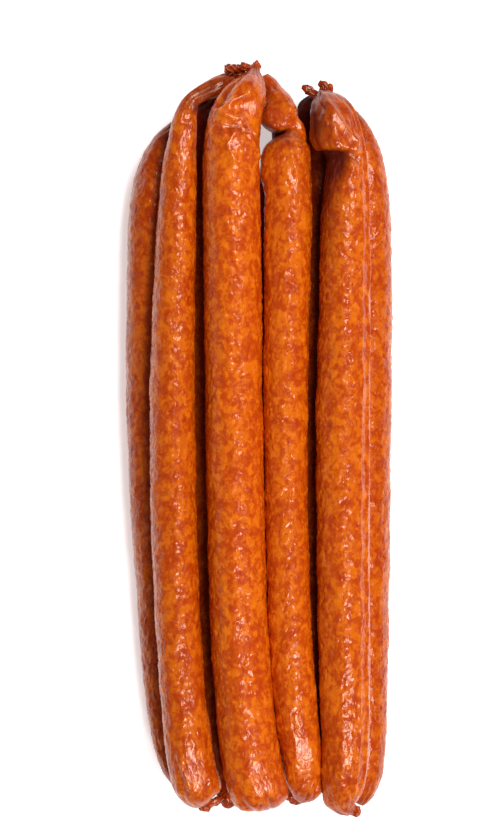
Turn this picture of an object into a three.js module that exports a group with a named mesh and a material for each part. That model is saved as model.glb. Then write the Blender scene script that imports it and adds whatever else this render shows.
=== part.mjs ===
// A bunch of nine long thin smoked sausages joined end to end by their twisted casing. It lies on
// a table in two layers: five links side by side below, four in the grooves above them.
// +Z is up, the links run along Y, units are millimetres.
import * as THREE from "three";

const PRESS = 0.4; // how far the soft underside of a lower link settles flat on the table
const SIDES = 12; // facets round a link
const NECK_SIDES = 8; // facets round a twisted neck of casing
const STEPS = 2; // rings from one station of a centre line to the next

const CASING = new THREE.MeshStandardMaterial({
  name: "smoked_casing", color: 0xb5490f, roughness: 0.4, metalness: 0,
});
const TWIST = new THREE.MeshStandardMaterial({
  name: "twisted_casing", color: 0x6e2008, roughness: 0.35, metalness: 0,
});

// A station of a centre line holds x, y, the height of the centre and the radius.
const at = (x, y, z, radius) => [x, y, z, radius];
// A station where the link lies on the table.
const rest = (x, y, radius) => at(x, y, radius - PRESS, radius);

// Links in order from the left, each from its upper end down to its lower end.
const LINKS = {
  link_1_lower: [
    at(-24.6, 111.8, 11.2, 1.4), at(-26.2, 109.6, 10.4, 2.8), at(-29, 105, 9, 5),
    at(-32.6, 99, 7.6, 6.7), rest(-35.3, 90, 8), rest(-36.9, 76, 8.6), rest(-37.6, 45, 8.6),
    rest(-37.6, 10, 8.6), rest(-36.4, -22, 8.5), rest(-34.5, -56, 8), rest(-32.8, -85, 7.4),
    rest(-30.8, -104, 6.6), rest(-27.9, -115.5, 5.5), at(-24, -121.5, 3.8, 3.2),
    at(-22.2, -124.5, 3.2, 1.5),
  ],
  link_2_lower: [
    at(-9.4, 121.2, 8.6, 1.5), at(-12.4, 118.2, 7.8, 3.4), at(-15.4, 113.6, 6.4, 5),
    at(-17.2, 107.4, 5.8, 5.9), rest(-18.2, 100, 6.6), rest(-18.6, 90, 7.8),
    rest(-18.8, 72, 8.4), rest(-18.8, 40, 8.5), rest(-18.8, 10, 8.5), rest(-18.2, -28, 8.4),
    rest(-17, -63, 8), rest(-15.6, -91, 7.4), rest(-14.2, -110, 6.5), rest(-12.6, -119, 5),
    at(-11.6, -124, 4, 3.4), at(-11.2, -128.6, 3.8, 1.5),
  ],
  link_3_upper: [
    at(-7.6, 125.9, 13.4, 1.3), at(-9.8, 124.6, 13.8, 2), at(-12.6, 122.8, 14.4, 2.9),
    at(-16.4, 120.4, 15.6, 3.3), at(-20.4, 118.4, 17, 2.8), at(-23.6, 116.4, 18.2, 2.3),
    at(-25.4, 113.4, 18.8, 2.7), at(-26.1, 108.6, 19.6, 4.1), at(-27, 100, 20.6, 5),
    at(-27.9, 90, 21, 5.9), at(-28.8, 71, 22, 6.6), at(-29.7, 40, 23, 7.2),
    at(-30, 3, 23.6, 7.7), at(-29.3, -35, 23.6, 7.7), at(-27.6, -72, 22.8, 7.6),
    at(-25.3, -99.5, 21.4, 7.8), at(-23.1, -114.4, 19.6, 8.3), at(-22, -119.6, 18.4, 8.1),
    at(-21.3, -122.8, 17.2, 6.6), at(-20.4, -125.2, 16, 4), at(-19.6, -126.8, 15.2, 1.9),
    at(-19.2, -128.6, 14.8, 1.4),
  ],
  link_4_upper: [
    at(-0.9, 129.6, 15.6, 1), at(-2, 126.6, 16.4, 2), at(-2.9, 122.7, 18, 4.7),
    at(-4.6, 118.2, 20.4, 7), at(-7.4, 112, 21.8, 8.6), at(-9.3, 105, 22.6, 9.3),
    at(-9.8, 94, 23.8, 9.6), at(-9.6, 70, 24.6, 9.7), at(-9.2, 36, 24.8, 9.7),
    at(-8.8, 3, 24.8, 9.7), at(-8, -36, 24.6, 9.7), at(-7, -68, 24.2, 9.7),
    at(-5.2, -92, 23.4, 9.8), at(-3, -111, 22.6, 10), at(-1.3, -118.5, 22, 10.2),
    at(0, -122.4, 21, 9.6), at(0.7, -125.2, 20, 7.8), at(1, -127, 19.2, 4.8),
    at(1.1, -127.8, 18.8, 1.4),
  ],
  link_5_upper: [
    at(0.9, 125.4, 12, 1.6), at(2.6, 122.8, 12.2, 2.9), at(4.6, 119, 13.2, 3.8),
    at(6.4, 114.8, 15.4, 5.4), at(7.3, 110.8, 16.8, 6.3), at(8.8, 108.4, 17.2, 5.3),
    at(12, 106.2, 17.6, 3.4), at(11, 103.4, 18, 5.6), at(9.9, 99.6, 18.8, 7.2),
    at(9.5, 91.5, 21, 8), at(9.7, 76, 22.8, 8), at(9.1, 47, 23.4, 7.7),
    at(8.7, 3, 23.4, 7.4), at(9.5, -41.5, 22.8, 7.2), at(10.4, -69, 22, 7.4),
    at(12.2, -93, 21, 7.3), at(14.2, -109, 18.8, 6.8), at(14.8, -116.8, 16.8, 6.3),
    at(14.6, -121, 16, 5.4), at(13.6, -123.6, 15.4, 3.4), at(12.6, -125, 15, 1.4),
  ],
  link_6_lower: [
    at(1.4, 120, 7.4, 1.4), at(3, 117.2, 6.8, 2.3), at(5.8, 112.6, 6, 3.3),
    at(8.1, 106, 5.2, 3.9), rest(8, 100, 4.6), rest(6, 91, 6.3), rest(3.8, 76, 8),
    rest(2.2, 47, 8.4), rest(1.4, 12, 8.4), rest(1.4, -28, 8.4), rest(2.2, -63, 8.2),
    rest(3.8, -91, 7.8), rest(6.6, -110, 6.6), rest(9.4, -119, 4.8), at(11, -123.6, 4.2, 3.8),
    at(11.6, -126.6, 4, 1.6),
  ],
  link_7_lower: [
    at(19.4, 118.6, 7.4, 1.6), at(18.7, 116, 6.6, 4.9), rest(18.8, 112, 6.6), rest(19.4, 106, 7),
    rest(20.4, 94, 7.1), rest(20, 72, 7.6), rest(19.2, 40, 8.2), rest(18.9, 10, 8.3),
    rest(18.9, -28, 8.3), rest(19.4, -63, 8), rest(20.8, -91, 7.6), rest(22.8, -108, 6.3),
    rest(24.6, -118, 5.1), at(26, -123.5, 4.2, 3.8), at(27, -127.4, 4, 1.6),
  ],
  link_8_upper: [
    at(22.4, 122.8, 13.4, 1.2), at(21.8, 120.4, 13.6, 1.3), at(22, 118.2, 15.2, 2.6),
    at(23, 114.8, 18, 5.8), at(24.8, 109.5, 20.6, 7.9), at(26.4, 103, 21.6, 8.5),
    at(28.3, 97, 21.6, 7.8), at(28.8, 88, 22.6, 8.3), at(29, 70, 23.8, 8.3),
    at(28.8, 40, 24.4, 8.6), at(28.3, 3, 24.6, 9), at(28.4, -41.5, 24, 8.8),
    at(28.9, -82, 22.8, 8.5), at(29.2, -106, 21.2, 7.9), at(28.8, -116, 19.4, 7.4),
    at(28.6, -122.6, 18, 6.1), at(29.6, -126.8, 16.8, 3.8), at(32, -128.9, 15.8, 1.8),
    at(32.4, -130.4, 15.6, 1.3),
  ],
  link_9_lower: [
    at(27.6, 115.8, 11, 1.5), at(29.6, 113, 9.8, 2.9), at(32.5, 108.6, 7.6, 4.3),
    at(34.7, 102.6, 6, 5.6), rest(36, 95, 7), rest(36.8, 80.6, 8.2), rest(37.2, 48, 8.6),
    rest(37, 12, 8.6), rest(36.7, -28, 8.4), rest(36.5, -63, 8.2), rest(36.7, -91, 7.4),
    rest(36.9, -108, 6.6), rest(36.9, -116, 5.8), at(36.3, -121.6, 4.6, 4.6),
    at(35.2, -125.6, 4, 3.1), at(34.3, -127.8, 3.6, 1.5),
  ],
};

// Twisted casing between two links, without meat in it.
const NECKS = {
  neck_upper_left: [
    at(-12.2, 127.3, 16.6, 1.4), at(-9.8, 127.3, 17, 1.5), at(-7.4, 127.5, 16.8, 1.2),
    at(-5.4, 128.2, 16.6, 0.8),
  ],
  neck_upper_right: [
    at(14.6, 121.8, 11.4, 0.9), at(16.6, 120.9, 11.5, 1.4), at(18.6, 120.6, 11.4, 1.1),
    at(20.4, 120.5, 11.2, 0.7),
  ],
  neck_lower_left: [
    at(-17.6, -127, 10.8, 0.9), at(-15.8, -126.4, 10, 1.2), at(-13.6, -125.8, 9, 1.1),
    at(-11.8, -125.8, 8.6, 0.9),
  ],
};

// A cylinder bent along the stations of a centre line, its radius changing smoothly from one to
// the next. One flat facet faces down all the way, and nothing goes below the table.
function tube(stations, sides) {
  const smooth = (points) => new THREE.CatmullRomCurve3(points, false, "catmullrom", 0.5);
  const line = smooth(stations.map(([x, y, z]) => new THREE.Vector3(x, y, z)));
  const size = smooth(stations.map(([, , , radius]) => new THREE.Vector3(radius, 0, 0)));
  const rings = (stations.length - 1) * STEPS;
  const geometry = new THREE.CylinderGeometry(1, 1, 1, sides, rings).rotateY(Math.PI / sides);
  const place = geometry.getAttribute("position");
  const offset = new THREE.Vector3();
  for (let i = 0; i < place.count; i++) {
    offset.fromBufferAttribute(place, i);
    const t = Math.round((0.5 - offset.y) * rings) / rings;
    const along = line.getTangent(t);
    const up = new THREE.Vector3(0, 0, 1).projectOnPlane(along).normalize();
    const across = new THREE.Vector3().crossVectors(up, along);
    const radius = size.getPoint(t).x;
    const point = line.getPoint(t)
      .addScaledVector(across, radius * offset.x)
      .addScaledVector(up, radius * offset.z);
    place.setXYZ(i, point.x, point.y, Math.max(point.z, 0));
  }
  return geometry;
}

const bunch = new THREE.Group();
bunch.name = "smoked_sausage_bunch";
const rows = [[LINKS, SIDES, CASING], [NECKS, NECK_SIDES, TWIST]];
for (const [pieces, sides, material] of rows) {
  for (const [name, stations] of Object.entries(pieces)) {
    const mesh = new THREE.Mesh(tube(stations, sides), material);
    mesh.name = name;
    bunch.add(mesh);
  }
}

// The frame's origin is on the table under the middle of the bunch.
const middle = new THREE.Box3().setFromObject(bunch).getCenter(new THREE.Vector3());
for (const mesh of bunch.children) {
  mesh.geometry.translate(-middle.x, -middle.y, 0);
  mesh.geometry.computeVertexNormals();
}

export default bunch;
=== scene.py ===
# %% [markdown]
# A bunch of smoked sausages
#
# Nine long thin links lie in two layers. Each link is ground meat in a thin casing, smoked until
# the casing is glossy and tight. Between two links the casing has no meat in it and is twisted
# like a rope. The CAD solids give every place and size; here each one gets its real skin.

# %% Load the frame
import math

import bmesh
import bpy
import numpy as np
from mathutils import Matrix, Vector


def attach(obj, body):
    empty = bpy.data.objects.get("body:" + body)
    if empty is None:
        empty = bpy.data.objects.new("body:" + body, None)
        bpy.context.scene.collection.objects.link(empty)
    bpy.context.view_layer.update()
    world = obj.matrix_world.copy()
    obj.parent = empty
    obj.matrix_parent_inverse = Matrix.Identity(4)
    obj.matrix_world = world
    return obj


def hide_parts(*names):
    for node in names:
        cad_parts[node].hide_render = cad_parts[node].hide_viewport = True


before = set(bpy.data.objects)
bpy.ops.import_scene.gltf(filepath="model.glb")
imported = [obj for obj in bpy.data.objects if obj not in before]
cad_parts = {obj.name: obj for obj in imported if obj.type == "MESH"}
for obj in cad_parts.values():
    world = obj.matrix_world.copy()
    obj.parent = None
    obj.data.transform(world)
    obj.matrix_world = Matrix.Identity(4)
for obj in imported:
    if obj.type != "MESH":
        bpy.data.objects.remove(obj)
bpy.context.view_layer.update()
MM = 0.001

# %% [markdown]
# The view
#
# The bunch is seen from straight above. A wide lens close by would show the sides of the outer
# links, so a long lens far away is used, which keeps the links parallel. Its focal length is
# worked out from how much of the table it has to take in.

# %% Camera
VIEW_HEIGHT = 287.4 * MM  # how much of the bunch's length the view takes in
VIEW_SHIFT = (-3.2 * MM, 7.8 * MM)  # the middle of the view, from the middle of the bunch
LAYERS_MEET = 16 * MM  # the level between the two layers of links
CAMERA_ABOVE = 1200 * MM  # over that level
SENSOR_HEIGHT = 36  # millimetres of film

camera = bpy.data.objects.new("camera", bpy.data.cameras.new("camera"))
bpy.context.scene.collection.objects.link(camera)
camera.location = (*VIEW_SHIFT, LAYERS_MEET + CAMERA_ABOVE)
camera.data.sensor_fit = "VERTICAL"
camera.data.sensor_height = SENSOR_HEIGHT
camera.data.lens = SENSOR_HEIGHT * CAMERA_ABOVE / VIEW_HEIGHT
camera.data.clip_start = 0.05
camera.data.clip_end = 20
bpy.context.scene.camera = camera
print("lens", round(camera.data.lens), "mm")

# %% [markdown]
# Lights
#
# Food is lit from beyond its far end: the soft box there shines on the bent heads, and along the
# straight links only the wrinkles that lean towards it sparkle. A weaker box at the near end does
# the same for the lower ends. A dim, low, warm one on the left draws a soft rim on the outermost
# link, and a faint sky keeps the shadows from turning black.


# %% Lights
def soft_box(name, place, width, length, watts, colour=(1, 1, 1)):
    """A rectangular lamp that faces the middle of the bunch. Places and sizes are in metres."""
    lamp = bpy.data.lights.new(name, "AREA")
    lamp.shape = "RECTANGLE"
    lamp.size, lamp.size_y = width, length
    lamp.energy, lamp.color = watts, colour
    box = bpy.data.objects.new(name, lamp)
    box.location = place
    box.rotation_euler = Vector(place).to_track_quat("Z", "Y").to_euler()
    bpy.context.scene.collection.objects.link(box)
    print(name, watts, "W")


WARM = (1, 0.85, 0.75)
SKY_COLOUR = (0.95, 0.97, 1, 1)
SKY_STRENGTH = 0.12

soft_box("far_box", (0.34, 0.54, 0.88), 0.34, 0.42, 8.0)
soft_box("near_box", (0.28, -0.5, 0.92), 0.34, 0.3, 7.2)
soft_box("left_rim", (-0.95, 0, 0.16), 0.25, 1.0, 0.5, WARM)

world = bpy.data.worlds.new("studio")
bpy.context.scene.world = world
world.use_nodes = True
sky = world.node_tree.nodes["Background"]
sky.inputs["Color"].default_value = SKY_COLOUR
sky.inputs["Strength"].default_value = SKY_STRENGTH
bpy.context.scene.view_settings.view_transform = "Standard"

# %% [markdown]
# Table
#
# It lies a hair below the links' undersides: two faces at the same level would fight for the
# same place.

# %% Table
TABLE_SIZE = 6  # metres
TABLE_LEVEL = -0.2 * MM

bpy.ops.object.select_all(action="DESELECT")
bpy.ops.mesh.primitive_plane_add(size=TABLE_SIZE, location=(0, 0, TABLE_LEVEL))
table = bpy.context.object
table.name = "table"
print("table", TABLE_SIZE, "m wide")

# %% [markdown]
# Reading a link from its CAD solid
#
# Each CAD solid is a faceted tube. Walking it from one end to the other, ring by ring, gives the
# middle and the radius of every ring, and a smooth curve through those is the link's centre line.
# This keeps the skin on the solid without repeating any of its numbers.


# %% A smooth curve through values
def smooth_through(values, places, where):
    """Reads a smooth curve that passes through values at places."""
    slopes = np.gradient(values, places, axis=0)
    i = np.clip(np.searchsorted(places, where) - 1, 0, len(places) - 2)
    step = places[i + 1] - places[i]
    t = (where - places[i]) / step
    if values.ndim > 1:
        step, t = step[:, None], t[:, None]
    rise = values[i + 1] - values[i]
    start, end = slopes[i] * step, slopes[i + 1] * step
    line = values[i] + t * start
    curve = line + t**2 * (3 * rise - 2 * start - end)
    return curve + t**3 * (start + end - 2 * rise)


# %% The centre line of a CAD solid
def centre_line(node):
    """The middles and radii of a CAD tube's rings in millimetres, from its upper end."""
    solid = bmesh.new()
    solid.from_mesh(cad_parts[node].data)
    bmesh.ops.remove_doubles(solid, verts=solid.verts, dist=1e-6)
    poles = sorted(solid.verts, key=lambda v: -len(v.link_edges))[:2]
    ring = [max(poles, key=lambda v: v.co.y)]
    seen, middles, radii = set(ring), [], []
    while ring:
        around = {e.other_vert(v) for v in ring for e in v.link_edges} - seen
        seen |= around
        ring = list(around)
        if len(ring) > 1:
            points = np.array([v.co for v in ring]) / MM
            middles.append(points.mean(0))
            radii.append(np.linalg.norm(points - points.mean(0), axis=1).mean())
    solid.free()
    return np.array(middles), np.array(radii)


# %% [markdown]
# A tube round a centre line
#
# A tube of casing that is slit open lies flat, so the mesh starts as a flat grid: its columns go
# round the link and its rows go along it. The shape is worked out first as one number for each
# grid point, its distance from the centre line. Lumps, wrinkles, pleats and dents all change
# that number. Sculpting by hand would give the same kind of surface, but numbers give it again
# on every run.


# %% The tube
class Tube:
    """A tube of casing: rows run along it and columns go round it, from underneath."""

    def __init__(self, name, middles, radii, columns, row_length):
        self.name, self.columns = name, columns
        steps = np.linalg.norm(np.diff(middles, axis=0), axis=1)
        places = np.concatenate([[0], np.cumsum(steps)])
        self.length = places[-1]
        self.rows = int(self.length / row_length) + 1
        self.along = np.linspace(0, self.length, self.rows)
        self.middle = smooth_through(middles, places, self.along)
        self.radius = smooth_through(radii, places, self.along)
        run = np.gradient(self.middle, self.along, axis=0)
        run /= np.linalg.norm(run, axis=1)[:, None]
        up = np.array([0, 0, 1.0]) - run * run[:, 2:]
        self.up = up / np.linalg.norm(up, axis=1)[:, None]
        self.side = np.cross(self.up, run)
        self.angle = np.arange(columns) * 360 / columns - 90
        self.out = np.repeat(self.radius[:, None], columns, axis=1)
        self.high = 1.0

    def off_angle(self, angle):
        """How far round each column is from an angle: 0 is right, 90 up, 180 left."""
        return (self.angle - angle + 180) % 360 - 180

    def from_y(self, y):
        """How far along each row is past the place with this y."""
        return self.along - np.interp(-y, -self.middle[:, 1], self.along)

    def points(self):
        """Every grid point's place in millimetres, closed at both ends, nothing under the table."""
        turn = np.radians(self.angle)
        x = (self.out * np.cos(turn))[:, :, None]
        z = (self.out * np.sin(turn) * self.high)[:, :, None]
        place = self.middle[:, None, :] + x * self.side[:, None, :] + z * self.up[:, None, :]
        place[0] = self.middle[0]
        place[-1] = self.middle[-1]
        place[:, :, 2] = np.maximum(place[:, :, 2], 0)
        return place


# %% [markdown]
# Wrinkles and pleats
#
# As a link dries in the smoke the meat shrinks, and the casing follows every lump of it and
# wrinkles finely in between. At a twisted end the casing is gathered like cloth on a string, and
# pleats run out from there. A bump texture could draw the wrinkles, but relief in the mesh itself
# also shows in the outline. It is random noise with all its lumps near one chosen size.

# %% Wrinkles and pleats
ALL_ROUND = 400  # lumps this wide go right round, so such relief only changes along the tube
LUMPS = [(0.12, 14, 22), (0.06, 6, 8), (0.055, 3, 3.6)]  # height, width and length, millimetres
NET_DEPTH, NET_WIDE, NET_LONG, NET_SHARPNESS = 0.09, 3.2, 4.2, 3.2
BUMP_HEIGHT, BUMP_WIDE, BUMP_LONG = 0.04, 1.7, 2.4


class WrinkledTube(Tube):
    """A tube with relief that is random, but the same on every run."""

    def grain(self, around, along, seed, spread=0.45):
        """Random relief, as high as deep, its lumps this many millimetres wide and long."""
        white = np.random.default_rng(seed).standard_normal((self.rows, self.columns))
        per_mm = self.columns / (2 * math.pi * self.radius.max())
        across = np.fft.fftfreq(self.columns, 1 / per_mm)[None, :] * around
        down = np.fft.fftfreq(self.rows, self.length / self.rows)[:, None] * along
        octaves = np.log2(np.maximum(np.hypot(across, down), 1e-6))
        relief = np.fft.ifft2(np.fft.fft2(white) * np.exp(-((octaves / spread) ** 2))).real
        return relief / relief.std()

    def wrinkle(self, seed):
        """Lumps of meat, a net of fine wrinkles and small bumps over the whole link."""
        size = np.clip(self.radius / self.radius.max(), 0.15, 1)[:, None]
        for k, (height, wide, long) in enumerate(LUMPS):
            self.out += size * height * self.grain(wide, long, seed + k)
        net = np.abs(self.grain(NET_WIDE, NET_LONG, seed + 3))
        self.out -= size * NET_DEPTH * np.exp(-net * NET_SHARPNESS)
        self.out += size * BUMP_HEIGHT * self.grain(BUMP_WIDE, BUMP_LONG, seed + 4)

    def gather(self, upper, reach, depth, count, seed):
        """Pleats that run out from the upper or the lower twisted end, no two alike. depth is a
        share of the radius."""
        rng = np.random.default_rng(seed)
        from_end = self.along if upper else self.length - self.along
        waver = self.grain(ALL_ROUND, 16, seed + 7)[:, :1] * 5
        for k in range(count):
            angle = 360 * (k + rng.uniform(-0.3, 0.3)) / count
            wide = rng.uniform(5, 11)  # degrees
            far = reach * rng.uniform(0.45, 1.3)
            deep = depth * rng.uniform(0.4, 1.2)
            off = self.off_angle(angle - waver)
            fade = np.exp(-((from_end / far) ** 1.6))
            self.out -= (self.radius * deep * fade)[:, None] * np.exp(-np.abs(off / wide) ** 1.2)


# %% [markdown]
# Dents, lips and folds
#
# What makes one link different from the next are a few large marks: a dent where it was bent, a
# sharp lip above the dent, a flat where it lay against another link, a fold of loose casing.
# Each is a method that changes the distances near one place. A place on a link is its y in the
# frame and an angle round it. The painted-shade mask darkens the casing where it lies in shade.

# %% Dents, lips and folds
GAP = 0.16  # the CAD solids stand this much inside the links' real touching skins
RIDGE_FADE = 8  # millimetres over which a ridge rises from nothing at each of its ends


class ShapedTube(WrinkledTube):
    """A tube with marks at chosen places. Lengths and depths are in millimetres. Widths are in
    degrees round the tube, except a fold's, which is in millimetres too."""

    def __init__(self, *shape):
        super().__init__(*shape)
        self.painted_shade = np.zeros_like(self.out)
        self.flattened = np.zeros_like(self.out)

    def near(self, y, angle, long, wide, lean=0.0):
        """1 at a place on the skin, fading out round it. long may be a pair, how far it runs
        towards the upper and towards the lower end. lean slants it, in millimetres a degree."""
        before, after = long if isinstance(long, tuple) else (long, long)
        round_it = self.off_angle(angle)[None, :]
        run = self.from_y(y)[:, None] - lean * round_it
        run = np.where(run < 0, run / before, run / after)
        return np.exp(-(run**2) - (round_it / wide) ** 2)

    def press(self, y, angle, long, wide, depth, lean=0.0):
        """Presses a dent in, or a bulge out where depth is negative."""
        self.out -= depth * self.near(y, angle, long, wide, lean)

    def paint_shade(self, y, angle, long, wide, amount):
        """Darkens a place with painted shade, where it lies in shade."""
        self.painted_shade = np.maximum(self.painted_shade, amount * self.near(y, angle, long, wide))

    def ridge(self, y_from, y_to, angle, height, wide=4.0, turn=0.0, seed=0):
        """A thin fold of casing along the link from one y to another, turning round it."""
        start, end = self.from_y(y_from), -self.from_y(y_to)
        fade = np.clip(np.minimum(start, end) / RIDGE_FADE, 0, 1) ** 0.7
        share = np.clip(start / np.maximum(start + end, 1e-6), 0, 1)
        waver = self.grain(ALL_ROUND, 22, seed)[:, 0] * wide * 0.35
        off = self.off_angle((angle + turn * share + waver)[:, None])
        self.out += height * fade[:, None] * np.exp(-np.abs(off / wide) ** 1.5)

    def fold(self, path, height, wide, sharp=1.6):
        """A raised fold along a path of (y, angle) points, a groove where height is below 0."""
        ys, angles = np.array(path, float).T
        along = np.interp(-ys, -self.middle[:, 1], self.along)
        arm = math.radians(np.interp(along.mean(), self.along, self.radius))
        around = (self.off_angle(angles.mean()) + angles.mean())[None, :] * arm
        near = np.full(self.out.shape, np.inf)
        for k in range(len(ys) - 1):
            run = np.array((along[k + 1] - along[k], (angles[k + 1] - angles[k]) * arm))
            down, across = self.along[:, None] - along[k], around - angles[k] * arm
            t = np.clip((down * run[0] + across * run[1]) / (run @ run), 0, 1)
            near = np.minimum(near, np.hypot(down - t * run[0], across - t * run[1]))
        self.out += height * np.exp(-((near / wide) ** sharp))

    def flatten(self, y, angle, long, share):
        """Presses a flat facet on, its middle this share of the radius out from the centre line."""
        off = np.radians(np.clip(self.off_angle(angle), -75, 75))[None, :]
        flat = self.radius[:, None] * share / np.cos(off)
        here = np.exp(-((self.from_y(y)[:, None] / long) ** 4))
        cut = here * np.maximum(self.out - flat, 0)
        self.out -= cut
        self.flattened += cut

    def tighten(self, angle, wide, height):
        """Smooths a band along the whole link, where the casing is pulled tight."""
        waver = self.grain(ALL_ROUND, 40, 5)[:, :1] * wide * 0.25
        band = np.exp(-(((self.off_angle(angle)[None, :] - waver) / wide) ** 4))
        self.out += band * (self.radius[:, None] + GAP + height - self.out)

    def shorten(self, y, by):
        """Pushes the lower end back by a few millimetres, gently from one y on."""
        share = np.clip(self.from_y(y), 0, None)
        self.middle[:, 1] += by * (share / share[-1]) ** 2


# %% [markdown]
# Rolling the grid into a skin
#
# A grid is added flat, and each of its points is then moved to its worked-out place. The first
# and last rows close on the centre line, and merging doubles closes them and the seam, which
# lies underneath. Two masks go with the points, for the material to read: how much the casing is
# gathered, and how much painted shade it gets, from how deep in a hollow it lies and from the
# painted-shade mask. A pressed flat is no hollow, so it isn't counted.

# %% Rolling the grid into a skin
# Painted shade in hollows: how deep a skin lies decides how dark it is painted.
HOLLOW_FROM = 0.3  # a skin pushed in this far starts to darken
HOLLOW_OVER = 2.4  # and is darkest this much deeper


class Skin(ShapedTube):
    """A tube with all its marks that can be turned into a mesh."""

    def build(self, gathered):
        """Rolls a grid into the skin. gathered says how much each row is pulled together."""
        bpy.ops.object.select_all(action="DESELECT")
        bpy.ops.mesh.primitive_grid_add(
            x_subdivisions=self.columns, y_subdivisions=self.rows - 1, size=1, calc_uvs=True
        )
        piece = bpy.context.object
        piece.name = piece.data.name = self.name
        flat = np.empty(len(piece.data.vertices) * 3)
        piece.data.vertices.foreach_get("co", flat)
        grid = flat.reshape(-1, 3) + 0.5
        column = np.rint(grid[:, 0] * self.columns).astype(int) % self.columns
        row = np.rint(grid[:, 1] * (self.rows - 1)).astype(int)
        piece.data.vertices.foreach_set("co", (self.points()[row, column] * MM).ravel())
        pushed_in = self.radius[:, None] - self.out - self.flattened
        hollow_shade = np.clip((pushed_in - HOLLOW_FROM) / HOLLOW_OVER, self.painted_shade, 1)
        for mask, values in (("gathered", gathered[row]), ("hollow_shade", hollow_shade[row, column])):
            made = piece.data.attributes.new(mask, "FLOAT", "POINT")
            made.data.foreach_set("value", values.astype(np.float32))
        bpy.ops.object.mode_set(mode="EDIT")
        bpy.ops.mesh.select_all(action="SELECT")
        bpy.ops.mesh.remove_doubles(threshold=1e-7)
        bpy.ops.object.mode_set(mode="OBJECT")
        bpy.ops.object.shade_smooth()
        print(self.name, len(piece.data.vertices), "points")
        return piece


# %% [markdown]
# The links
#
# Every link gets the same kind of fine relief, and pleats at both of its twisted ends, over about
# the first centimetre. The upper links are seen best, so their grids are the finest.

# %% Roll every link
UPPER = (3, 4, 5, 8)  # the links that lie in the grooves between the others
FINENESS = {"upper": (128, 0.46), "lower": (96, 0.62)}  # columns, and millimetres between rows

layers = {number: "upper" if number in UPPER else "lower" for number in range(1, 10)}
link_nodes = {number: f"link_{number}_{layer}" for number, layer in layers.items()}


def new_link(number):
    """Starts the skin of one link with its wrinkles and the pleats at both of its ends."""
    seed = 100 * number
    middles, radii = centre_line(link_nodes[number])
    skin = Skin(f"sausage_{number}", middles, radii, *FINENESS[layers[number]])
    skin.out += GAP
    skin.wrinkle(seed)
    skin.gather(upper=True, reach=11, depth=0.16, count=10, seed=seed + 11)
    skin.gather(upper=False, reach=10, depth=0.2, count=11, seed=seed + 12)
    return skin


def thickness(skin):
    """Prints how long and how thick a link has become."""
    print(skin.name, round(skin.length), "mm long,", round(2 * skin.out.mean(1).max(), 1), "thick")


links = {number: new_link(number) for number in layers}
for skin in links.values():
    thickness(skin)

# %% [markdown]
# The thick link
#
# The thickest link lies on top in the middle. Its head is pressed flat, and a crease with a sharp
# upper lip runs straight across its shoulder. Loose casing below the crease stands up in a few
# short folds, and its lower end is blunt.

# %% Shape the thick link
thick = links[4]
thick.flatten(112.8, 80, 6, 0.86)
thick.press(118, 80, 3, 40, -0.6)
thick.press(111.6, 84, 3, 40, 0.45)
# The crease: a lip, the dent under it and the fold along its edge.
thick.press(109.5, 88, (3, 0.9), 44, -0.9, lean=0.02)
thick.press(105.8, 88, (1.2, 4.2), 46, 1.4, lean=0.02)
thick.fold([(109.6, 128), (108.2, 94), (109.2, 76), (106.2, 50), (104.0, 30)], 1.1, 0.8)
# Folds above it and below it.
thick.fold([(109.6, 128), (113.6, 108), (117, 84)], 0.8, 1.2)
thick.fold([(125.5, 152), (118, 148), (111, 144)], -1.6, 1.2)
thick.fold([(103.6, 84), (99.6, 98), (93.4, 82)], 0.8, 1.2)
thick.fold([(106.4, 118), (102.4, 106)], 0.7, 1.0)
thick.fold([(103.4, 50), (99.6, 36), (96.6, 14)], 0.7, 0.8)
# The blunt lower end, and painted shade on the upper tip.
for angle in (20, 160):
    thick.press(-124.6, angle, 2.4, 34, -1.0)
thick.flatten(-117, 78, 7, 0.95)
thick.shorten(-116, 1.4)
thick.paint_shade(126, 90, (6, 5), 400, 0.5)
thickness(thick)

# %% [markdown]
# The folded link
#
# The rightmost link of the upper layer is folded right over near its upper end, so its head
# hangs like a hood over a deep, dark hollow on its left. Long pleats run down from the knot, and
# a thin seam of double casing runs along its right side from end to end.

# %% Shape the folded link
folded = links[8]
folded.gather(upper=True, reach=17, depth=0.13, count=9, seed=87)
folded.flatten(107, 62, 7, 0.9)
# The hollow under the hood, and the hood's edge.
folded.press(99.8, 152, (1.0, 17), 62, 4.2, lean=-0.031)
folded.press(98.0, 105, (1.0, 7), 34, 2.0, lean=-0.031)
folded.press(96.2, 58, (0.9, 3), 14, 1.4)
folded.press(103.2, 150, (5, 1.3), 62, -0.9, lean=-0.031)
# Folds and grooves down the hood, then short folds that fan out beside the hollow.
folded.fold([(117.6, 96), (113, 88), (108, 74), (103.6, 60), (100, 46)], 0.7, 1.1)
folded.fold([(116, 136), (110, 148), (103, 150)], -1.1, 1.6)
folded.fold([(116, 116), (111, 112)], -0.6, 1.2)
folded.fold([(99.8, 50), (97.4, 56)], 0.8, 1.4)
folded.fold([(96.4, 52), (93, 62), (88, 78)], 0.55, 1.2)
folded.fold([(95.4, 66), (90, 84), (85, 96)], 0.4, 1.0)
folded.fold([(95.8, 44), (91, 42), (84, 46)], -0.5, 1.4)
# The seam: a tight smooth band between two thin folds.
folded.tighten(10, 13, 0.3)
for angle, height, turn in ((22, 0.8, 8), (42, 0.35, 12)):
    folded.ridge(115, -124, angle, height, wide=4.5, turn=turn, seed=80 + angle)
# The gathered lower end, which swells to the left, and painted shade on the head and on the flank
# under the hood.
folded.gather(upper=False, reach=26, depth=0.08, count=13, seed=88)
folded.press(-124, 176, 2.5, 34, -1.6)
folded.paint_shade(109, 142, (14, 8), 38, 0.95)
folded.paint_shade(119, 90, (6, 5), 400, 0.7)
folded.paint_shade(95, 160, (4, 28), 55, 1.0)
thickness(folded)

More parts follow.
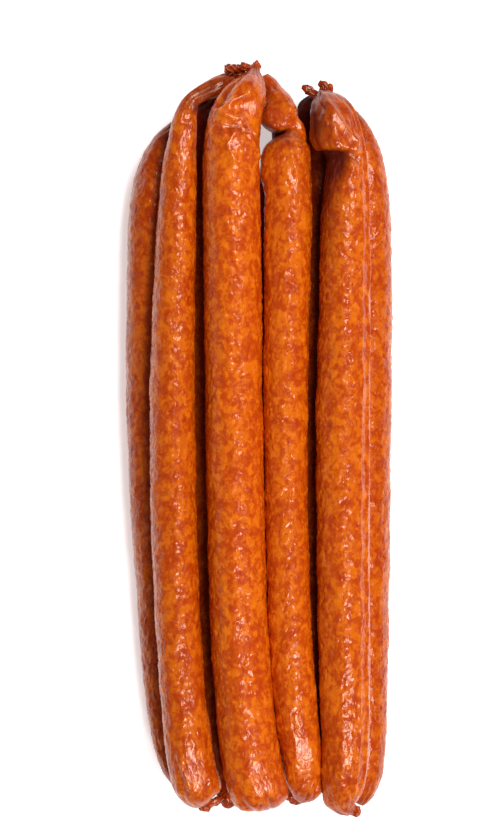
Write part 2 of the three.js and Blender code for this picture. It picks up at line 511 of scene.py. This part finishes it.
# %% [markdown]
# The bent links
#
# The link to the right of the thick one is bent sharply in, which pinches its left side like a
# bent straw. The second link from the left is bent over at its upper end, where little meat is
# left, so its neck is thin, flat and finely folded.

# %% Shape the pinched link
pinched = links[5]
pinched.flatten(113.4, 96, 5.5, 0.82)
# The outer side of the bend: a notch, and a bulge below it.
pinched.press(111, 0, 1.3, 45, 0.7)
pinched.press(108.3, 0, 1.2, 45, -1.8)
# The inner side: pinched in twice, with the casing bulging above and below.
pinched.press(112, 178, 2.5, 50, -1.2)
pinched.press(107.4, 180, (2.4, 1.6), 66, 3.4)
pinched.press(103.6, 176, (1.4, 2.6), 64, 2.6)
pinched.press(97.4, 180, 5, 46, -1.2)
pinched.press(91, 180, 4, 44, -0.9)
# Painted shade in the pinch and under the bulging casing of the bend.
pinched.paint_shade(103.6, 150, (3, 6), 62, 1.0)
pinched.paint_shade(108.4, 186, 2.5, 50, 1.0)
pinched.paint_shade(113, 175, 9, 50, 0.9)
# The crease across the top, and folds that run out from it.
pinched.press(105.9, 110, (0.9, 2.4), 34, 0.8)
pinched.fold([(106.4, 120), (103, 96), (97, 84), (90, 70)], 0.5, 0.9)
pinched.fold([(112, 50), (106, 46), (98, 50)], 0.35, 1.2)
pinched.fold([(118.6, 96), (113, 76)], 0.35, 1.0)
# The lower end.
pinched.press(-120.4, 0, 2.5, 32, -1.4)
pinched.flatten(-109, 82, 8, 0.94)
thickness(pinched)

# %% Shape the bent-over link
bent = links[3]
# The flat neck, the crease under it and its fine folds.
bent.flatten(119.6, 112, 3.5, 0.86)
bent.press(108.2, 75, (0.7, 1.8), 34, 0.7)
bent.fold([(122, 40), (118, 44), (114.6, 40)], 0.5, 1.0)
for angle in (70, 105, 140):
    bent.fold([(122.5, angle), (117, angle + 6), (111, angle - 4)], 0.3, 0.8)
bent.fold([(108, 52), (102, 46), (96, 50)], 0.35, 1.0)
# Thin folds that run up from the knot at the lower end, and the end's flat top.
for angle, turn in ((96, -14), (78, -4), (116, -20)):
    bent.ridge(-104, -124, angle, 0.7, wide=5, turn=turn, seed=30 + angle)
bent.press(-122.5, 205, 3, 50, 0.6)
bent.flatten(-114, 74, 9, 0.94)
bent.gather(upper=False, reach=20, depth=0.07, count=12, seed=38)
bent.press(-121.4, 0, 2.6, 40, -0.9)
# Painted shade on the inner side of the bend, and the swelling below it.
bent.paint_shade(119, 80, 9, 90, 0.65)
bent.paint_shade(115.6, 14, 4.5, 66, 1.0)
bent.press(114.6, 8, 3.4, 55, -1.3)
thickness(bent)

# %% [markdown]
# The lower links
#
# Of the five links on the table only the outer two are seen from end to end. The inner ones show
# just a dark shoulder between the upper links, so their upper ends get painted shade all round. A
# few single dents keep the lower links from looking like plain tubes.

# %% Shape the lower links
# Painted shade on each lower link's upper end, which lies under the upper links.
PAINTED_SHADE_LENGTHS = {1: 8, 2: 30, 6: 24, 7: 44}  # millimetres from the upper end

for number, length in PAINTED_SHADE_LENGTHS.items():
    upper_end = links[number].middle[0, 1]
    links[number].paint_shade(upper_end, 90, length, 400, 1.0)
links[1].press(88, 140, (1.2, 4), 22, 0.5)
links[2].press(112, 172, (5, 7), 60, -2.8)
links[9].press(104.2, 66, (0.9, 2), 24, 0.8)
links[9].fold([(104, 70), (98, 74)], 0.35, 1.0)
links[9].press(-123.6, 176, 3, 50, -1.6)
for number in (1, 2, 9):
    thickness(links[number])

# %% [markdown]
# From numbers to meshes
#
# Near a twisted end there is little meat behind the casing. How far that reaches, and how bare
# the casing gets, differs from link to link, so each has its own values.

# %% Build the links
BARE_REACH, FOLDED_REACH, LOWER_REACH = 17, 26, 6  # millimetres from an end
BARENESS = {3: 1.0, 4: 0.6, 5: 0.8, 8: 1.0}  # how little meat is left behind the skin
OTHER_BARENESS = 0.9


def gathered_near(skin, upper, lower):
    """1 at a twisted end, fading to 0 within these lengths of the upper and lower end."""
    at_upper = np.exp(-((skin.along / upper) ** 2))
    at_lower = np.exp(-(((skin.length - skin.along) / lower) ** 2))
    return at_upper + at_lower


sausages = {}
for number, skin in links.items():
    gathered = gathered_near(skin, FOLDED_REACH if skin is folded else BARE_REACH, LOWER_REACH)
    sausages[number] = skin.build(gathered * BARENESS.get(number, OTHER_BARENESS))

# %% [markdown]
# Twisted casing
#
# Where two links meet the empty casing is twisted into a short rope, and where it was cut it ends
# in a flat crumpled tail. Both are small skins of their own: a rope's relief turns as it goes,
# and a tail is pressed flat.

# %% Ropes and tails
TWIST_ROW = 0.12  # millimetres between rows
ROPE_COLUMNS = 64
TAIL_COLUMNS = 56


def rope(name, node, strands, turns, seed, depth=0.5):
    """The twisted casing of a CAD neck: strands that turn round it, with fine creases."""
    skin = Skin(name, *centre_line(node), ROPE_COLUMNS, TWIST_ROW)
    phase = 360 * turns * skin.along / skin.length
    turned = np.radians(strands * (skin.angle[None, :] - phase[:, None]))
    skin.out *= 1 + depth * (np.abs(np.cos(turned / 2)) - 0.6)
    skin.out += 0.06 * skin.grain(1.2, 2.6, seed)
    skin.middle += 0.12 * skin.grain(ALL_ROUND, 2.5, seed + 1)[:, :1] * skin.up
    return skin


def tail(name, start, steps, radii, flatness, seed):
    """A crumpled end of casing from a start point, through steps in millimetres."""
    middles = np.array(start) + np.array([(0, 0, 0), *steps], float)
    skin = Skin(name, middles, np.array(radii, float), TAIL_COLUMNS, TWIST_ROW)
    skin.high = flatness
    skin.out *= 1 + 0.16 * skin.grain(1.6, 5, seed) + 0.08 * skin.grain(0.8, 2.2, seed + 1)
    return skin


upper_ends = {number: skin.middle[0] for number, skin in links.items()}
lower_ends = {number: skin.middle[-1] for number, skin in links.items()}
print("upper ends at y", [round(end[1], 1) for end in upper_ends.values()])

# %% [markdown]
# The upper knots
#
# At the top left two links are joined by a twisted rope, and its loose strands and the cut knob
# of the thick link stand up beside it. At the top right the casing was cut twice: a leaf-shaped
# piece lies to the left of a two-pronged tuft on the folded link.

# %% The upper knots
neck_left = centre_line("neck_upper_left")[0]
neck_right = centre_line("neck_upper_right")[0]
upper_left_rope = rope("twist_upper_left", "neck_upper_left", strands=4, turns=0.9, seed=901)
leaf = tail(
    "leaf_tail", neck_right[-1] + (-0.2, -1.8, 1.0),
    [(-1.6, 0.5, -0.2), (-3.4, 1.8, -0.4), (-4.8, 2.5, -0.4), (-5.8, 2.9, -0.5)],
    [0.9, 1.2, 1.5, 1.2, 0.5], 0.5, 911,
)
upper_tails = [
    tail(
        "twist_join", neck_left[0] + (-1.4, -0.1, 0.6),
        [(1.4, -0.1, 0), (2.8, -0.4, -0.2), (4.2, -0.9, -0.4)], [1.2, 1.4, 1.2, 1.3], 0.85, 915,
    ),
    tail(
        "rope_strand", upper_ends[3] + (-1.8, -0.7, 1.8),
        [(1.8, 0.6, 0.3), (3.2, 1.0, 0.5), (4.4, 1.3, 0.6)], [1.1, 1.3, 1.2, 0.9], 0.8, 917,
    ),
    tail(
        "knob_tail", upper_ends[4] + (-1.3, -3.8, 0.2),
        [(0.2, 1.5, 0.2), (0.9, 2.8, 0.3), (2.0, 3.6, 0.2)], [1.8, 1.6, 1.4, 1.1], 0.8, 921,
    ),
    tail(
        "left_prong", upper_ends[8] + (0.1, -4.8, 1.0),
        [(0, 2.2, 0.2), (-0.6, 3.8, 0.4), (-2.3, 4.8, 0.4)], [2.3, 1.8, 1.4, 0.8], 0.6, 931,
    ),
    tail(
        "right_prong", upper_ends[8] + (0.7, -4.8, 0.9),
        [(0.7, 2.2, 0.2), (1.1, 3.4, 0.4), (1.5, 4.4, 0.5)], [2.0, 1.4, 1.0, 0.5], 0.6, 932,
    ),
]
print("upper tails", [skin.name for skin in upper_tails])

# %% [markdown]
# The lower knots
#
# Below, three small tight knots peep out from under the blunt ends. At the left a strip of casing
# runs from one link to the next, with a ribbon and a flat flap of loose casing beside it.

# %% The lower knots
lower_left_rope = rope("twist_lower_left", "neck_lower_left", strands=3, turns=0.6, seed=903)
lower_tails = [
    tail(
        "flap_tail", lower_ends[2] + (0.3, 6.0, 4.4),
        [(0, -2.4, 0.3), (0, -4.4, 0.1), (-0.1, -6.2, -0.6)], [1.6, 3.2, 2.2, 0.5], 0.3, 941,
    ),
    tail(
        "lower_left_knot", lower_ends[3] + (0.2, 3.4, 0.6),
        [(0, -1.2, 0.1), (-0.2, -2.6, 0.1), (-0.4, -3.6, 0)], [1.2, 1.7, 1.9, 1.4], 0.75, 951,
    ),
    tail(
        "lower_left_ribbon", lower_ends[3] + (0.6, 2.0, 1.6),
        [(2.0, 0.7, 0.2), (4.0, 1.5, 0), (5.6, 2.6, -0.6)], [1.0, 1.2, 1.1, 0.7], 0.6, 953,
    ),
    tail(
        "lower_right_knot", lower_ends[8] + (0.4, 3.6, 0.2),
        [(-0.2, -1.4, 0), (-0.5, -2.6, 0.1), (-1.0, -3.5, 0.1)], [1.2, 1.9, 1.7, 0.9], 0.75, 961,
    ),
    tail(
        "lower_middle_knot", lower_ends[6] + (0.4, 3.0, 2.0),
        [(0, -1.6, 0), (0, -3.0, -0.2), (-0.2, -4.0, -0.4)], [1.6, 2.0, 1.9, 1.0], 0.7, 971,
    ),
]
print("lower tails", [skin.name for skin in lower_tails])

# %% Build the ropes and tails
neck_nodes = {
    "twist_upper_left": "neck_upper_left",
    "twist_lower_left": "neck_lower_left",
    "leaf_tail": "neck_upper_right",
}
necks = [skin.build(np.ones(skin.rows)) for skin in (upper_left_rope, lower_left_rope, leaf)]
tails = [skin.build(np.ones(skin.rows)) for skin in upper_tails + lower_tails]

# %% [markdown]
# Building materials from nodes
#
# Meat and casing are node groups: the meat's colour and the film's wrinkles are worked out once,
# and each link's material uses them with its own values. A few helpers keep the node building
# short enough to read.


# %% Node groups and nodes
def new_group(name, inputs, outputs):
    """A shader node group with float or colour sockets. Returns its tree and its two ends."""
    tree = bpy.data.node_groups.new(name, "ShaderNodeTree")
    kinds = {"F": "NodeSocketFloat", "C": "NodeSocketColor"}
    for direction, sockets in (("INPUT", inputs), ("OUTPUT", outputs)):
        for socket, kind in sockets.items():
            tree.interface.new_socket(socket, in_out=direction, socket_type=kinds[kind])
    return tree, tree.nodes.new("NodeGroupInput"), tree.nodes.new("NodeGroupOutput")


def add(tree, kind, inputs=None, **settings):
    """Adds a node. inputs holds its values, or the sockets that feed it."""
    made = tree.nodes.new("ShaderNode" + kind)
    for key, value in settings.items():
        setattr(made, key, value)
    for key, value in (inputs or {}).items():
        if isinstance(value, bpy.types.NodeSocket):
            tree.links.new(value, made.inputs[key])
        else:
            made.inputs[key].default_value = value
    return made


# %% Ramps, mixes and sums
def ramp(tree, factor, *stops):
    """A colour ramp between (place, grey or colour) stops."""
    made = add(tree, "ValToRGB", {"Fac": factor})
    colours = made.color_ramp.elements
    while len(colours) < len(stops):
        colours.new(0.5)
    for element, (place, colour) in zip(colours, stops):
        element.position = place
        element.color = (*colour, 1) if isinstance(colour, tuple) else (colour, colour, colour, 1)
    return made.outputs["Color"]


def mix(tree, factor, a, b, blend="MIX"):
    """Mixes two colours."""
    made = tree.nodes.new("ShaderNodeMix")
    made.data_type, made.blend_type = "RGBA", blend
    for place, value in ((0, factor), (6, a), (7, b)):
        if isinstance(value, bpy.types.NodeSocket):
            tree.links.new(value, made.inputs[place])
        else:
            made.inputs[place].default_value = value if place == 0 else (*value, 1)
    return made.outputs[2]


def maths(tree, operation, a, b):
    """One sum on two numbers or sockets."""
    return add(tree, "Math", {0: a, 1: b}, operation=operation).outputs["Value"]


def weighted(tree, *parts):
    """Adds sockets up, each times its own weight."""
    total = 0.0
    for socket, weight in parts:
        total = maths(tree, "ADD", total, maths(tree, "MULTIPLY", socket, weight))
    return total


# %% [markdown]
# Ground meat
#
# Under the casing lies coarse ground meat, mixed with paprika and fat: orange all over, with
# lighter grains of fat and darker grains of lean meat one to three millimetres across. Grains
# are cells of a Voronoi texture, bent by noise so that none is round, and their colour is drawn
# by lot. Near a twisted end there is less meat and the casing lies double, so it turns smooth and
# red-brown. Hollows and other places in shade get painted shade, a deep red.

# %% Colours of the meat
MEAT = (
    (0.66, (0.47, 0.045, 0.0012)), (0.84, (0.56, 0.07, 0.0015)),
    (0.94, (0.64, 0.1, 0.002)), (1.0, (0.74, 0.145, 0.0024)),
)
PLAIN_CASING = (
    (0.36, (0.26, 0.02, 0.0012)), (0.5, (0.37, 0.036, 0.0016)), (0.68, (0.5, 0.066, 0.0024)),
)
FAT = (0.84, 0.19, 0.006)
LEAN = (0.42, 0.028, 0.001)
PEPPER = (0.3, 0.008, 0.003)
# Smoked tone and painted shade for the darker links.
SMOKE_AND_SHADE_TINT = (0.45, 0.33, 0.4)  # what a darker link's colour is multiplied by
# Painted shade for hollows and other places in shade.
HOLLOW_PAINTED_SHADE = (0.22, 0.07, 0.12)
BEND = 3 * MM  # how far noise shifts the grains
# How many grains or waves of each texture fit in a metre.
GRAINS, SMALL_GRAINS, PEPPER_SPOTS = 360, 820, 26
WARP_WAVES, BROAD_WAVES, SOFT_WAVES, FINE_WAVES = 260, 80, 420, 1300


def cells(tree, place, scale):
    """Soft-edged grains, with a random colour for each."""
    inputs = {"Vector": place, "Scale": scale, "Smoothness": 1.0}
    return add(tree, "TexVoronoi", inputs, feature="SMOOTH_F1")


def noise(tree, place, scale, detail):
    """A plain noise texture."""
    return add(tree, "TexNoise", {"Vector": place, "Scale": scale, "Detail": detail})


# %% Ground meat
def build_meat():
    """Colour of ground meat behind the casing, with painted shade in hollows and on darker links.
    """
    tree, given, result = new_group(
        "ground_meat", {"Tone_and_shade": "F", "Gathered": "F", "Hollow_shade": "F"}, {"Color": "C"}
    )
    place = add(tree, "TexCoord").outputs["Object"]
    place = add(tree, "Mapping", {"Vector": place, "Scale": (1, 0.8, 1)}).outputs["Vector"]
    warp = noise(tree, place, WARP_WAVES, 2).outputs["Color"]
    bent = add(tree, "VectorMath", {0: warp, 1: (BEND,) * 3}, operation="MULTIPLY").outputs[0]
    bent = add(tree, "VectorMath", {0: place, 1: bent}, operation="ADD").outputs[0]

    grains = cells(tree, bent, GRAINS).outputs["Color"]
    chance = add(tree, "SeparateColor", {"Color": grains}).outputs["Red"]
    broad = noise(tree, place, BROAD_WAVES, 2).outputs["Fac"]
    soft = noise(tree, bent, SOFT_WAVES, 3).outputs["Fac"]
    fine = noise(tree, bent, FINE_WAVES, 2).outputs["Fac"]
    share = weighted(tree, (chance, 0.34), (soft, 0.8), (broad, 0.2), (fine, 0.5))
    colour = ramp(tree, share, *MEAT)

    small = cells(tree, bent, SMALL_GRAINS).outputs["Color"]
    luck = add(tree, "SeparateColor", {"Color": small}).outputs["Green"]
    fat = maths(tree, "MULTIPLY", ramp(tree, luck, (0.56, 0.0), (0.8, 1.0)), 0.5)
    colour = mix(tree, fat, colour, FAT)
    lean = maths(tree, "MULTIPLY", ramp(tree, luck, (0.2, 1.0), (0.45, 0.0)), 0.22)
    colour = mix(tree, lean, colour, LEAN)
    spot = add(tree, "TexVoronoi", {"Vector": place, "Scale": PEPPER_SPOTS}).outputs["Distance"]
    colour = mix(tree, ramp(tree, spot, (0.02, 0.8), (0.055, 0.0)), colour, PEPPER)

    pulled = ramp(tree, given.outputs["Gathered"], (0.1, 0.0), (0.9, 1.0))
    plain = ramp(tree, soft, *PLAIN_CASING)
    colour = mix(tree, maths(tree, "MULTIPLY", pulled, 0.85), colour, plain)
    # Painted shade: darker links and hollows are multiplied darker.
    dark = mix(tree, 1.0, colour, SMOKE_AND_SHADE_TINT, "MULTIPLY")
    colour = mix(tree, given.outputs["Tone_and_shade"], colour, dark)
    deep = mix(tree, 1.0, colour, HOLLOW_PAINTED_SHADE, "MULTIPLY")
    colour = mix(tree, given.outputs["Hollow_shade"], colour, deep)
    tree.links.new(colour, result.inputs["Color"])
    return tree


meat = build_meat()
print(meat.name, len(meat.nodes), "nodes")

# %% [markdown]
# The casing
#
# The casing itself is a clear, amber, glossy film. Its wrinkles, too fine for the mesh, are a
# height that a Bump node reads: a net of creases, a fine grain and soft waves. The same waves
# make some patches glossier than others. A hollow is duller, so that no shine fills it with light.

# %% Casing film
CREASES, FILM_WAVES, FILM_GRAIN = 620, 500, 1500  # how many fit in a metre
FILM_ROUGHNESS = ((0.35, 0.18), (0.65, 0.31))
HOLLOW_DULLNESS = 0.4  # added to the roughness
PULLED_SMOOTH = 0.55  # the share of the wrinkles that gathered casing loses


def build_casing():
    """Height and roughness of the wrinkled film over the meat."""
    tree, given, result = new_group(
        "casing_film", {"Gathered": "F", "Hollow_shade": "F"}, {"Height": "F", "Roughness": "F"}
    )
    place = add(tree, "TexCoord").outputs["Object"]
    along = add(tree, "Mapping", {"Vector": place, "Scale": (1, 0.6, 1)}).outputs["Vector"]
    net = add(tree, "TexVoronoi", {"Vector": along, "Scale": CREASES}, feature="DISTANCE_TO_EDGE")
    creases = ramp(tree, net.outputs["Distance"], (0.0, 0.0), (0.25, 1.0))
    fine = noise(tree, along, FILM_GRAIN, 3).outputs["Fac"]
    soft = noise(tree, along, FILM_WAVES, 2).outputs["Fac"]
    height = weighted(tree, (creases, 0.45), (fine, 0.2), (soft, 0.9))
    lost = maths(tree, "MULTIPLY", given.outputs["Gathered"], PULLED_SMOOTH)
    less = maths(tree, "SUBTRACT", 1.0, lost)
    tree.links.new(maths(tree, "MULTIPLY", height, less), result.inputs["Height"])

    rough = ramp(tree, soft, *FILM_ROUGHNESS)
    deep = maths(tree, "POWER", given.outputs["Hollow_shade"], 3.0)
    dull = maths(tree, "MULTIPLY", deep, HOLLOW_DULLNESS)
    tree.links.new(maths(tree, "ADD", rough, dull), result.inputs["Roughness"])
    return tree


film = build_casing()
print(film.name, len(film.nodes), "nodes")

# %% [markdown]
# One material for each link
#
# Each link has its own darkness: partly its own smoked tone, and painted shade on the links
# underneath and between the others. The links underneath have less gloss, because the others keep
# the light off them and a strong shine there would look like a grey veil.

# %% Casing materials
BUMP_DEPTH = 0.22 * MM
LINK_BUMP, TAIL_BUMP = 0.55, 0.5
FULL_GLOSS = 0.5
COAT_SHARE, COAT_ROUGHNESS = 0.2, 0.16
AMBER_SHINE = (1, 0.74, 0.6, 1)


def casing_material(name, tone_and_shade, bump, gloss=FULL_GLOSS):
    """Casing over meat. tone_and_shade is how much darker this link is: its own smoked tone, with
    painted shade for the links underneath.
    """
    made = bpy.data.materials.new(name)
    made.use_nodes = True
    tree = made.node_tree
    shader = tree.nodes["Principled BSDF"]
    pulled = add(tree, "Attribute", attribute_name="gathered").outputs["Fac"]
    hollow_shade = add(tree, "Attribute", attribute_name="hollow_shade").outputs["Fac"]
    flesh = add(tree, "Group", node_tree=meat)
    flesh.inputs["Tone_and_shade"].default_value = tone_and_shade
    skin = add(tree, "Group", node_tree=film)
    for group in (flesh, skin):
        tree.links.new(pulled, group.inputs["Gathered"])
        tree.links.new(hollow_shade, group.inputs["Hollow_shade"])
    height = {"Height": skin.outputs["Height"], "Distance": BUMP_DEPTH, "Strength": bump}
    relief = add(tree, "Bump", height)
    tree.links.new(flesh.outputs["Color"], shader.inputs["Base Color"])
    tree.links.new(skin.outputs["Roughness"], shader.inputs["Roughness"])
    tree.links.new(relief.outputs["Normal"], shader.inputs["Normal"])
    shader.inputs["Coat Weight"].default_value = COAT_SHARE * gloss
    shader.inputs["Coat Roughness"].default_value = COAT_ROUGHNESS
    shader.inputs["Specular IOR Level"].default_value = gloss
    shader.inputs["Specular Tint"].default_value = AMBER_SHINE
    return made


# %% Give every piece its casing
# Darkness of each link: a smoked tone that differs from link to link, and painted shade on the
# links underneath, most on 2, 6 and 7.
LINK_TONE_AND_SHADE = {1: 0.5, 2: 0.9, 3: 0.25, 4: 0.0, 5: 0.1, 6: 0.9, 7: 1.0, 8: 0.15, 9: 0.4}
LESS_GLOSS = {1: 0.4, 2: 0.08, 6: 0.08, 7: 0.08, 9: 0.4}  # the links on the table
NECK_DARKNESS, TAIL_DARKNESS = 0.55, 0.15

for number, sausage in sausages.items():
    gloss = LESS_GLOSS.get(number, FULL_GLOSS)
    link_skin = casing_material(f"casing_{number}", LINK_TONE_AND_SHADE[number], LINK_BUMP, gloss)
    sausage.data.materials.append(link_skin)
neck_skin = casing_material("twisted_casing", NECK_DARKNESS, TAIL_BUMP)
tail_skin = casing_material("tail_casing", TAIL_DARKNESS, TAIL_BUMP)
for neck in necks:
    neck.data.materials.append(neck_skin)
for piece in tails:
    piece.data.materials.append(tail_skin)
print(len(bpy.data.materials), "materials so far")

# %% [markdown]
# A pale table
#
# The table is matt and almost white, with a trace of mottle. It also glows faintly, like a light
# table, so that it stays plain and pale close to the links, where their shadow would grey it.

# %% Table finish
TABLE_PALENESS = ((0.3, 0.955), (0.7, 0.975))
TABLE_ROUGHNESS = 0.7
TABLE_GLOW = 0.5

paper = bpy.data.materials.new("pale_table")
paper.use_nodes = True
paper_shader = paper.node_tree.nodes["Principled BSDF"]
mottle = add(paper.node_tree, "TexNoise", {"Scale": 60, "Detail": 4})
tone = ramp(paper.node_tree, mottle.outputs["Fac"], *TABLE_PALENESS)
paper.node_tree.links.new(tone, paper_shader.inputs["Base Color"])
paper_shader.inputs["Roughness"].default_value = TABLE_ROUGHNESS
paper_shader.inputs["Emission Color"].default_value = (1, 1, 1, 1)
paper_shader.inputs["Emission Strength"].default_value = TABLE_GLOW
table.data.materials.append(paper)
print("table glow", TABLE_GLOW)

# %% [markdown]
# Joining the pieces to the part
#
# The bunch doesn't move, so every piece rides on the one body. Each link and each neck takes the
# place of its CAD solid, and the small tails are extra pieces that the CAD leaves out.

# %% Join every piece to the part
for number, sausage in sausages.items():
    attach(sausage, "root")
    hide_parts(link_nodes[number])
for neck in necks:
    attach(neck, "root")
    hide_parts(neck_nodes[neck.name])
for piece in tails:
    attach(piece, "root")
print(len(sausages), "links,", len(necks), "necks,", len(tails), "tails")
